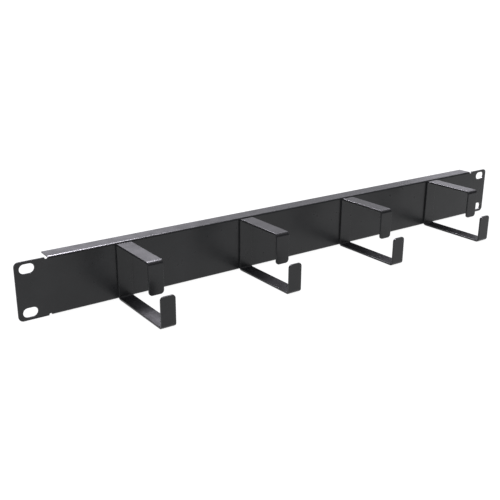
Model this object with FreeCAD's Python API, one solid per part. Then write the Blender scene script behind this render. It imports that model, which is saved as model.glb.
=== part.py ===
import FreeCAD, Part
import math
import os

from FreeCAD import Vector

# Horizontal cable manager for a 19-inch rack, one rack unit high, in millimetres.
#
# One steel sheet is folded into a shallow channel with a flat, slotted ear at each
# end.  Four C-shaped hooks, each bent from one flat steel strip, are spot-welded
# to its front.  Every hook has a short upper arm and a longer lower one, and the
# tabs at their front ends leave a gap through which a cable is dropped in.
#
# Frame: +X along the rack's width, +Y to the back, towards the rack's rails, +Z up.
# The origin is at the centre of the four rack slots, on the plane where the backs
# of the ears meet the rails.

# Rack slots and ears
SLOT_PITCH_X = 465.1       # between the slot columns of the two ears
SLOT_PITCH_Z = 31.75       # between the two slots of one ear
SLOT_LENGTH = 10.7         # over the slot's round ends, along X
SLOT_WIDTH = 7.0           # clear height of a slot, along Z
EAR_OVERHANG = 8.75        # from the slots' centres to the end of the panel
EAR_MARGIN = 5.5           # from a slot's centre to the ear's upper or lower edge
EAR_LENGTH = 24.1          # from the end of the panel to the end of its flanges
EAR_CORNER = 3.5           # radius of the ears' outer corners

# Folded sheet
SHEET = 1.0                # thickness
BEND_INSIDE = 0.5          # inside radius of the two folds
FLANGE_DEPTH = 12.7        # from the front face to the flanges' free edges
FLANGE_RISE = 0.1          # height of a flange's outer face above the ear's edge
RELIEF_WIDTH = 2.5         # width of the notch beside each end of a fold
RELIEF_PAST_BEND = 0.05    # depth of that notch beyond the line where the fold starts

# Cable hooks
HOOK_COUNT = 4
HOOK_END_DISTANCE = 56.1   # from the flanges' end to the middle of the nearest hook
STRIP = 1.5                # thickness of the flat strip
STRIP_WIDTH = 11.5
HOOK_BEND_INSIDE = 1.3     # inside radius of a hook's four bends
HOOK_BELOW_TOP = 0.35      # the upper arm's top lies below the upper flange by this
HOOK_BELOW_BOTTOM = 0.45   # the lower arm's underside lies below the lower flange by this
UPPER_REACH = 49.0         # from the panel's front face to the upper tab's front face
ENTRY_GAP = 14.0           # clear distance between the two tabs, along Y
UPPER_TAB = 24.2           # from the upper arm's top to the upper tab's free end
LOWER_TAB = 23.4           # from the lower arm's underside to the lower tab's free end
TAB_CORNER = 2.6           # radius of the corners at the tabs' free ends

# Sizes that follow from these
PANEL_END = SLOT_PITCH_X / 2 + EAR_OVERHANG
EAR_EDGE = SLOT_PITCH_Z / 2 + EAR_MARGIN
FLANGE_END = PANEL_END - EAR_LENGTH
FLANGE_FACE = EAR_EDGE + FLANGE_RISE
BEND_LINE = FLANGE_FACE - BEND_INSIDE - SHEET
FRONT_FACE = -SHEET
HOOK_TOP = FLANGE_FACE - HOOK_BELOW_TOP
HOOK_BOTTOM = -FLANGE_FACE - HOOK_BELOW_BOTTOM
LOWER_REACH = UPPER_REACH + ENTRY_GAP + STRIP
HOOK_SPAN = 2 * (FLANGE_END - HOOK_END_DISTANCE)

X_AXIS = Vector(1, 0, 0)
Y_AXIS = Vector(0, 1, 0)
OVERSHOOT = 1.0            # how far a cutting solid runs past the faces that it cuts


def rounded_path(corners, radius):
    """Edges from the first corner to the last, with an arc at each corner between."""
    edges = []
    start = corners[0]
    for before, corner, after in zip(corners, corners[1:], corners[2:]):
        arriving = (corner - before).normalize()
        leaving = (after - corner).normalize()
        half_turn = arriving.getAngle(leaving) / 2
        setback = radius * math.tan(half_turn)
        inwards = (leaving - arriving).normalize()
        arc_start = corner - arriving * setback
        arc_middle = corner + inwards * (radius / math.cos(half_turn) - radius)
        arc_end = corner + leaving * setback
        edges.append(Part.LineSegment(start, arc_start).toShape())
        edges.append(Part.Arc(arc_start, arc_middle, arc_end).toShape())
        start = arc_end
    edges.append(Part.LineSegment(start, corners[-1]).toShape())
    return edges


def folded_section(outer, thickness, inside_radius):
    """Face of a bent sheet, cut across its folds, in the YZ plane.

    outer holds the corners of the face outside the folds, in the order that keeps
    the metal on the left as seen from +X.
    """
    normals = [X_AXIS.cross((b - a).normalize()) for a, b in zip(outer, outer[1:])]
    inner = [outer[0] + normals[0] * thickness]
    for corner, first, second in zip(outer[1:], normals, normals[1:]):
        mitre = (first + second) / (1 + first.dot(second))
        inner.append(corner + mitre * thickness)
    inner.append(outer[-1] + normals[-1] * thickness)
    edges = rounded_path(outer, inside_radius + thickness)
    edges += rounded_path(inner, inside_radius)
    edges.append(Part.LineSegment(outer[0], inner[0]).toShape())
    edges.append(Part.LineSegment(outer[-1], inner[-1]).toShape())
    return Part.Face(Part.Wire(Part.__sortEdges__(edges)))


def through_slot(first, second, width):
    """Round-ended cutter along Y, through the sheet, from one arc centre to the other."""
    along = (second - first).normalize()
    across = along.cross(Y_AXIS) * (width / 2)
    beyond = along * (width / 2)
    outline = Part.Wire([
        Part.LineSegment(first + across, second + across).toShape(),
        Part.Arc(second + across, second + beyond, second - across).toShape(),
        Part.LineSegment(second - across, first - across).toShape(),
        Part.Arc(first - across, first - beyond, first + across).toShape(),
    ])
    outline.translate(Y_AXIS * (FRONT_FACE - OVERSHOOT))
    return Part.Face(outline).extrude(Y_AXIS * (SHEET + 2 * OVERSHOOT))


def rack_slot(z):
    """Cutter for one slot of the ear on the +X side."""
    centre = Vector(SLOT_PITCH_X / 2, 0, z)
    half = X_AXIS * ((SLOT_LENGTH - SLOT_WIDTH) / 2)
    return through_slot(centre - half, centre + half, SLOT_WIDTH)


def bend_relief(side):
    """Cutter for the notch that frees the end of the upper (1) or lower (-1) fold."""
    x = FLANGE_END + RELIEF_WIDTH / 2
    deepest = BEND_LINE - RELIEF_PAST_BEND + RELIEF_WIDTH / 2
    past_edge = FLANGE_FACE + RELIEF_WIDTH + OVERSHOOT
    return through_slot(Vector(x, 0, side * deepest), Vector(x, 0, side * past_edge), RELIEF_WIDTH)


def ear():
    """Flat ear on the +X side, from the flanges' end to the end of the panel."""
    corners = [
        Vector(FLANGE_END, FRONT_FACE, EAR_EDGE),
        Vector(PANEL_END, FRONT_FACE, EAR_EDGE),
        Vector(PANEL_END, FRONT_FACE, -EAR_EDGE),
        Vector(FLANGE_END, FRONT_FACE, -EAR_EDGE),
    ]
    edges = rounded_path(corners, EAR_CORNER)
    edges.append(Part.LineSegment(corners[-1], corners[0]).toShape())
    blank = Part.Face(Part.Wire(edges)).extrude(Y_AXIS * SHEET)
    slots = [rack_slot(side * SLOT_PITCH_Z / 2) for side in (1, -1)]
    reliefs = [bend_relief(side) for side in (1, -1)]
    return blank.cut(slots + reliefs)


def panel():
    """Folded sheet: front plate, two flanges turned to the back, and the two ears."""
    flange_edge = FRONT_FACE + FLANGE_DEPTH
    section = folded_section([
        Vector(-FLANGE_END, flange_edge, FLANGE_FACE),
        Vector(-FLANGE_END, FRONT_FACE, FLANGE_FACE),
        Vector(-FLANGE_END, FRONT_FACE, -FLANGE_FACE),
        Vector(-FLANGE_END, flange_edge, -FLANGE_FACE),
    ], SHEET, BEND_INSIDE)
    channel = section.extrude(X_AXIS * (2 * FLANGE_END))
    right_ear = ear()
    left_ear = right_ear.mirror(Vector(0, 0, 0), X_AXIS)
    return channel.fuse([right_ear, left_ear]).removeSplitter()


def cable_hook(x):
    """One bent strip with its middle at x, its back flat on the panel's front face."""
    left = x - STRIP_WIDTH / 2
    upper_front = FRONT_FACE - UPPER_REACH
    lower_front = FRONT_FACE - LOWER_REACH
    upper_tab_end = HOOK_TOP - UPPER_TAB
    lower_tab_end = HOOK_BOTTOM + LOWER_TAB
    section = folded_section([
        Vector(left, lower_front, lower_tab_end),
        Vector(left, lower_front, HOOK_BOTTOM),
        Vector(left, FRONT_FACE, HOOK_BOTTOM),
        Vector(left, FRONT_FACE, HOOK_TOP),
        Vector(left, upper_front, HOOK_TOP),
        Vector(left, upper_front, upper_tab_end),
    ], STRIP, HOOK_BEND_INSIDE)
    strip = section.extrude(X_AXIS * STRIP_WIDTH)
    ends = (upper_tab_end, lower_tab_end)
    sharp = [edge for edge in strip.Edges if runs_along_y(edge) and lies_at(edge, ends)]
    return strip.makeFillet(TAB_CORNER, sharp)


def runs_along_y(edge):
    """True for an edge parallel to Y: on a tab's end, one across the strip's thickness."""
    run = edge.Vertexes[-1].Point - edge.Vertexes[0].Point
    return run.cross(Y_AXIS).Length < 1e-6


def lies_at(edge, heights):
    """True where the edge's height is one of those given."""
    return any(abs(edge.CenterOfMass.z - height) < 1e-6 for height in heights)


def hook_places():
    """X of the middle of each hook, from left to right, evenly spread."""
    pitch = HOOK_SPAN / (HOOK_COUNT - 1)
    return [pitch * number - HOOK_SPAN / 2 for number in range(HOOK_COUNT)]


def main():
    parts = {"panel": panel()}
    for number, x in enumerate(hook_places(), start=1):
        parts[f"cable_hook_{number}"] = cable_hook(x)
    os.makedirs("parts", exist_ok=True)
    for name, shape in parts.items():
        shape.exportStep(f"parts/{name}.step")
        box = shape.BoundBox
        print(f"{name}: {len(shape.Solids)} solid, {shape.Volume:.0f} mm3, valid {shape.isValid()}, "
              f"{box.XLength:.1f} x {box.YLength:.1f} x {box.ZLength:.1f} mm")


main()
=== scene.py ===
import math

import bpy
from mathutils import Matrix, Vector


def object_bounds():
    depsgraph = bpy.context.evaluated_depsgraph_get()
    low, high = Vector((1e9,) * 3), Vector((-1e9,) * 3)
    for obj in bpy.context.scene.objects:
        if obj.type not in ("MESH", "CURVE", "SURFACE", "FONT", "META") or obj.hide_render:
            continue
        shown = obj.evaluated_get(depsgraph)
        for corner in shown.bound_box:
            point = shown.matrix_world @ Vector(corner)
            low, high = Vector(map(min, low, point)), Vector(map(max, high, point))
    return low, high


# Lengths are in metres and angles in degrees, in the part's frame. Colours are linear.

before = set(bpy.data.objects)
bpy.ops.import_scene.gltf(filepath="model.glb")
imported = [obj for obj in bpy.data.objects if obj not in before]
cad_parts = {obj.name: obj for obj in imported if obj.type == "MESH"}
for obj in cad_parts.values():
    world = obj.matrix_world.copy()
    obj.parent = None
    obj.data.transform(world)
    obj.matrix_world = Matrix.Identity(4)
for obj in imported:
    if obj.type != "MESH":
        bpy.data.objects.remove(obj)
cad_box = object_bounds()

HOOKS = sorted(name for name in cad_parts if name.startswith("cable_hook"))

# Camera
CAMERA_PLACE = Vector((-0.37988, -0.46194, 0.19062))
CAMERA_HEADING = 33.741     # clockwise from +Y, seen from above
CAMERA_PITCH = -18.948      # negative is downwards
CAMERA_ROLL = -0.291
CAMERA_LENS = 53.458        # millimetres
CAMERA_SENSOR = 36          # millimetres, across
CAMERA_SHIFT = (0.0478, -0.0069)
CAMERA_NEAR = 0.01          # what is nearer isn't drawn

# World light and floor
WORLD_RADIANCE = (0.635, 0.63, 0.67)
FLOOR_HALF = 80.0           # half of a side, enough for the far edge to lie above the picture
FLOOR_DROP = 0.0002         # gap between the part's lowest point and the floor
FLOOR_GREY = 0.3
FLOOR_ROUGHNESS = 0.9
FLOOR_GLOW = 0.93           # makes it plain white, so that no shadow shows on it

# Lamps, which light only what is glossy: name, place, aim, width and height, watts
LAMP_COLOUR = (0.97, 0.94, 1.04)
LAMPS = [
    # the light line on the upper fold, strongest at the left, and the middles of the lower arms
    ("overhead", (0.12, 0.5, 1.4), (0.12, 0.5, 0), (0.56, 0.76), 73),
    # the sheen of the flange and the upper arms, and the light tips of the lower arms
    ("behind", (0.2, 1.17, 1.4), (0.2, 1.17, 0), (0.76, 0.55), 122),
    # the fine lines on the fold and the front bends, from the second hook to the right
    ("right", (1.44, 0.76, 1.25), (0.08, -0.03, 0.02), (1.2, 0.4), 6),
    # the top of the fourth hook and the right-hand end of the flange
    ("right_low", (2.2, 1.35, 0.6), (0.16, -0.03, 0.02), (0.7, 0.35), 1.1),
]

# Flag: a dark upright card that faces the part, keeps its fronts dark and isn't seen itself
FLAG_PLACE = (0.6, -0.8, 0.38)
FLAG_WIDTH = 2.4
FLAG_HEIGHT = 0.8
FLAG_GREY = 0.04
FLAG_ROUGHNESS = 0.9

# Powder coat
BUMP_HEIGHT = 0.00002       # of the waves and of the pebbles, at full strength
WAVE_SIZE = 0.0016          # slow waves, as on orange peel
WAVE_STRENGTH = 0.5
PEBBLE_SIZE = 0.00035       # the finest bumps
PEBBLE_DETAIL = 3.0
PEBBLE_STRENGTH = 0.35
SHADE_SIZE = 0.03           # patches of slightly different black
SHADE_DARK = (0.0172, 0.0177, 0.0187)
SHADE_LIGHT = (0.0212, 0.0218, 0.0230)
SHADE_SPAN = (0.35, 0.65)   # values of the noise that give the two shades
GLOSS_SIZE = 0.008          # patches of slightly different gloss
GLOSS_DETAIL = 4.0
GLOSS_SPAN = (0.3, 0.7)     # values of the noise that give the two roughnesses
ROUGHNESS = (0.27, 0.33)
COAT_IOR = 1.35

# Cut edges
SEAM = 1e-6                 # points closer than this are one
FLAT_ANGLE = 1              # neighbouring faces that turn by less than this are one flat
CUT_ANGLE = 50              # neighbouring faces that turn by more than this share a cut edge
EDGE_ROUND = 0.00025        # radius that the coat gives to a cut edge
EDGE_SEGMENTS = 3


def add_camera():
    data = bpy.data.cameras.new("camera")
    data.lens = CAMERA_LENS
    data.sensor_width = CAMERA_SENSOR
    data.shift_x, data.shift_y = CAMERA_SHIFT
    data.clip_start = CAMERA_NEAR
    camera = bpy.data.objects.new("camera", data)
    heading = Matrix.Rotation(-math.radians(CAMERA_HEADING), 4, "Z")
    pitch = Matrix.Rotation(math.radians(90 + CAMERA_PITCH), 4, "X")
    roll = Matrix.Rotation(math.radians(CAMERA_ROLL), 4, "Z")
    camera.matrix_world = Matrix.Translation(CAMERA_PLACE) @ heading @ pitch @ roll
    bpy.context.collection.objects.link(camera)
    bpy.context.scene.camera = camera


def add_world():
    world = bpy.data.worlds.new("studio")
    world.use_nodes = True
    background = world.node_tree.nodes["Background"]
    background.inputs["Color"].default_value = (*WORLD_RADIANCE, 1)
    background.inputs["Strength"].default_value = 1.0
    bpy.context.scene.world = world


def add_lamp(name, place, aim, size, watts):
    data = bpy.data.lights.new(name, "AREA")
    data.shape = "RECTANGLE"
    data.size, data.size_y = size
    data.energy = watts
    data.color = LAMP_COLOUR
    lamp = bpy.data.objects.new(name, data)
    lamp.location = place
    facing = Vector(aim) - Vector(place)
    lamp.rotation_euler = facing.to_track_quat("-Z", "Y").to_euler()
    lamp.visible_diffuse = False
    lamp.visible_camera = False
    bpy.context.collection.objects.link(lamp)


def new_material(name):
    """A new material, and its shader."""
    material = bpy.data.materials.new(name)
    material.use_nodes = True
    return material, material.node_tree.nodes["Principled BSDF"]


def add_sheet(name, corners, material):
    """A flat sheet with four corners."""
    mesh = bpy.data.meshes.new(name)
    mesh.from_pydata(corners, [], [(0, 1, 2, 3)])
    mesh.materials.append(material)
    sheet = bpy.data.objects.new(name, mesh)
    bpy.context.collection.objects.link(sheet)
    return sheet


def add_floor(height):
    material, shader = new_material("white_table")
    shader.inputs["Base Color"].default_value = (FLOOR_GREY, FLOOR_GREY, FLOOR_GREY, 1)
    shader.inputs["Roughness"].default_value = FLOOR_ROUGHNESS
    shader.inputs["Specular IOR Level"].default_value = 0.0
    shader.inputs["Emission Color"].default_value = (1, 1, 1, 1)
    shader.inputs["Emission Strength"].default_value = FLOOR_GLOW
    signs = [(-1, -1), (1, -1), (1, 1), (-1, 1)]
    corners = [(x * FLOOR_HALF, y * FLOOR_HALF, height) for x, y in signs]
    floor = add_sheet("floor", corners, material)


def add_flag():
    material, shader = new_material("black_cloth")
    shader.inputs["Base Color"].default_value = (FLAG_GREY, FLAG_GREY, FLAG_GREY, 1)
    shader.inputs["Roughness"].default_value = FLAG_ROUGHNESS
    x, z = FLAG_WIDTH / 2, FLAG_HEIGHT / 2
    corners = [(-x, 0, -z), (x, 0, -z), (x, 0, z), (-x, 0, z)]
    flag = add_sheet("flag", corners, material)
    flag.location = FLAG_PLACE
    flag.rotation_euler.z = math.atan2(FLAG_PLACE[1], FLAG_PLACE[0]) + math.pi / 2
    flag.visible_camera = False


def add_noise(tree, place, size, detail=2.0):
    node = tree.nodes.new("ShaderNodeTexNoise")
    node.inputs["Scale"].default_value = 1 / size
    node.inputs["Detail"].default_value = detail
    tree.links.new(place, node.inputs["Vector"])
    return node.outputs["Fac"]


def add_bump(tree, height, strength, below=None):
    """A bump as high as the noise says, on top of the one below it."""
    node = tree.nodes.new("ShaderNodeBump")
    node.inputs["Distance"].default_value = BUMP_HEIGHT
    node.inputs["Strength"].default_value = strength
    tree.links.new(height, node.inputs["Height"])
    if below is not None:
        tree.links.new(below, node.inputs["Normal"])
    return node.outputs["Normal"]


def add_shades(tree, noise):
    ramp = tree.nodes.new("ShaderNodeValToRGB")
    shades = zip(ramp.color_ramp.elements, SHADE_SPAN, (SHADE_DARK, SHADE_LIGHT))
    for element, position, colour in shades:
        element.position = position
        element.color = (*colour, 1)
    tree.links.new(noise, ramp.inputs["Fac"])
    return ramp.outputs["Color"]


def add_gloss(tree, noise):
    node = tree.nodes.new("ShaderNodeMapRange")
    node.inputs["From Min"].default_value = GLOSS_SPAN[0]
    node.inputs["From Max"].default_value = GLOSS_SPAN[1]
    node.inputs["To Min"].default_value = ROUGHNESS[0]
    node.inputs["To Max"].default_value = ROUGHNESS[1]
    tree.links.new(noise, node.inputs["Value"])
    return node.outputs["Result"]


def powder_coat():
    """Black satin powder coat: fine pebbles on slow waves, in patches of shade and gloss."""
    material, shader = new_material("black_powder_coat")
    shader.inputs["IOR"].default_value = COAT_IOR
    tree = material.node_tree
    place = tree.nodes.new("ShaderNodeTexCoord").outputs["Object"]

    waves = add_bump(tree, add_noise(tree, place, WAVE_SIZE), WAVE_STRENGTH)
    grain = add_noise(tree, place, PEBBLE_SIZE, PEBBLE_DETAIL)
    pebbles = add_bump(tree, grain, PEBBLE_STRENGTH, waves)
    tree.links.new(pebbles, shader.inputs["Normal"])

    shades = add_shades(tree, add_noise(tree, place, SHADE_SIZE))
    tree.links.new(shades, shader.inputs["Base Color"])
    gloss = add_gloss(tree, add_noise(tree, place, GLOSS_SIZE, GLOSS_DETAIL))
    tree.links.new(gloss, shader.inputs["Roughness"])
    return material


def joined_shell():
    """Node group that joins a mesh's faces, drops their imported normals and shades them smooth."""
    group = bpy.data.node_groups.new("joined_shell", "GeometryNodeTree")
    group.interface.new_socket("Geometry", in_out="INPUT", socket_type="NodeSocketGeometry")
    group.interface.new_socket("Geometry", in_out="OUTPUT", socket_type="NodeSocketGeometry")
    source = group.nodes.new("NodeGroupInput")
    merge = group.nodes.new("GeometryNodeMergeByDistance")
    merge.inputs["Distance"].default_value = SEAM
    plain = group.nodes.new("GeometryNodeRemoveAttribute")
    plain.inputs["Name"].default_value = "custom_normal"
    smooth = group.nodes.new("GeometryNodeSetShadeSmooth")
    result = group.nodes.new("NodeGroupOutput")
    steps = [source, merge, plain, smooth, result]
    for before, after in zip(steps, steps[1:]):
        group.links.new(before.outputs[0], after.inputs[0])
    return group


def dress(name, coat, shell):
    """Coats a CAD node, rounds its cut edges and shades its flats flat.

    The hooks' flats are made whole first, so that the rounding reaches its full radius.
    The panel's folds have very short facets, which hold Blender's bevel back to almost
    nothing. The narrow strip that it leaves still parts the flats in the shading.
    """
    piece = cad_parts[name]
    piece.data.materials.clear()
    piece.data.materials.append(coat)
    joined = piece.modifiers.new("joined", "NODES")
    joined.node_group = shell
    if name in HOOKS:
        flats = piece.modifiers.new("whole_flats", "DECIMATE")
        flats.decimate_type = "DISSOLVE"
        flats.angle_limit = math.radians(FLAT_ANGLE)
    edges = piece.modifiers.new("coated_edges", "BEVEL")
    edges.width = EDGE_ROUND
    edges.segments = EDGE_SEGMENTS
    edges.limit_method = "ANGLE"
    edges.angle_limit = math.radians(CUT_ANGLE)
    shading = piece.modifiers.new("shading", "WEIGHTED_NORMAL")
    shading.mode = "FACE_AREA_WITH_ANGLE"


add_camera()
add_world()
add_floor(cad_box[0].z - FLOOR_DROP)
for name, place, aim, size, watts in LAMPS:
    add_lamp(name, place, aim, size, watts)
add_flag()
coat = powder_coat()
shell = joined_shell()
for node in ["panel"] + HOOKS:
    dress(node, coat, shell)
bpy.context.scene.view_settings.view_transform = "Standard"
